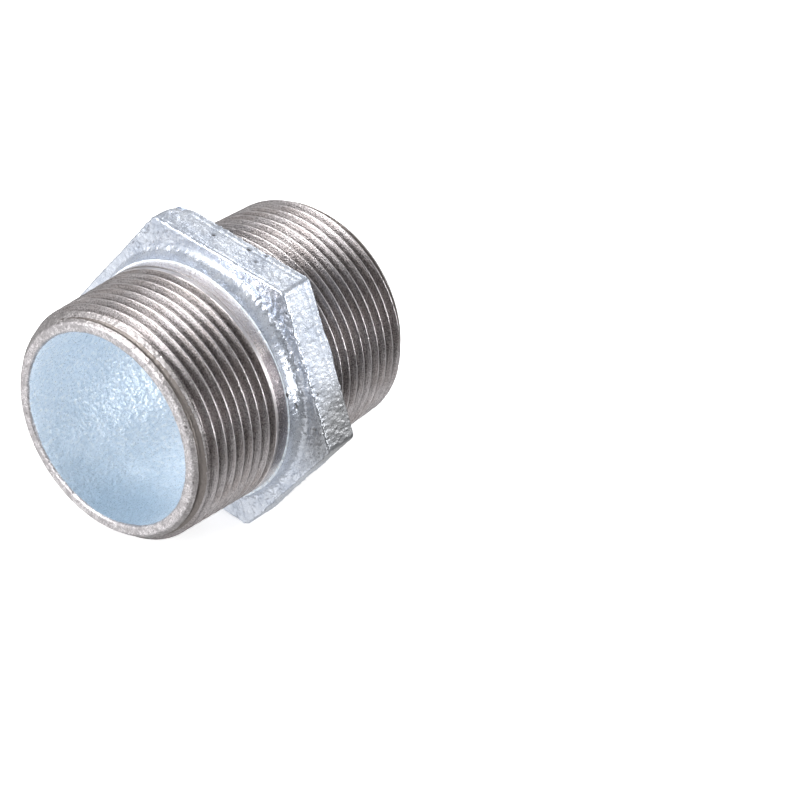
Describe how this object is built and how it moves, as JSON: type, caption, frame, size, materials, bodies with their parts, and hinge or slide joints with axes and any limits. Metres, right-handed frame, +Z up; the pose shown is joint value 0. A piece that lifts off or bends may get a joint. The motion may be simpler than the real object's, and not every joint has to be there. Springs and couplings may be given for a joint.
{
  "type": "hexagon pipe nipple",
  "caption": "Straight-bored pipe nipple with a male taper-threaded barrel at each end and a cast wrench hexagon between them.",
  "frame": {"origin": "middle of the nipple, on the axis of its bore", "axes": "+X along the bore, +Z up and square to the hexagon flat that the nipple rests on the opposite of, +Y across two hexagon corners"},
  "size_m": [0.0616, 0.0632, 0.0556],
  "materials": {
    "galvanised_iron": "hot-dip galvanised malleable iron casting, with bare machined threads and end faces"
  },
  "bodies": {
    "root": {"hex_nipple": "galvanised_iron"}
  },
  "joints": []
}
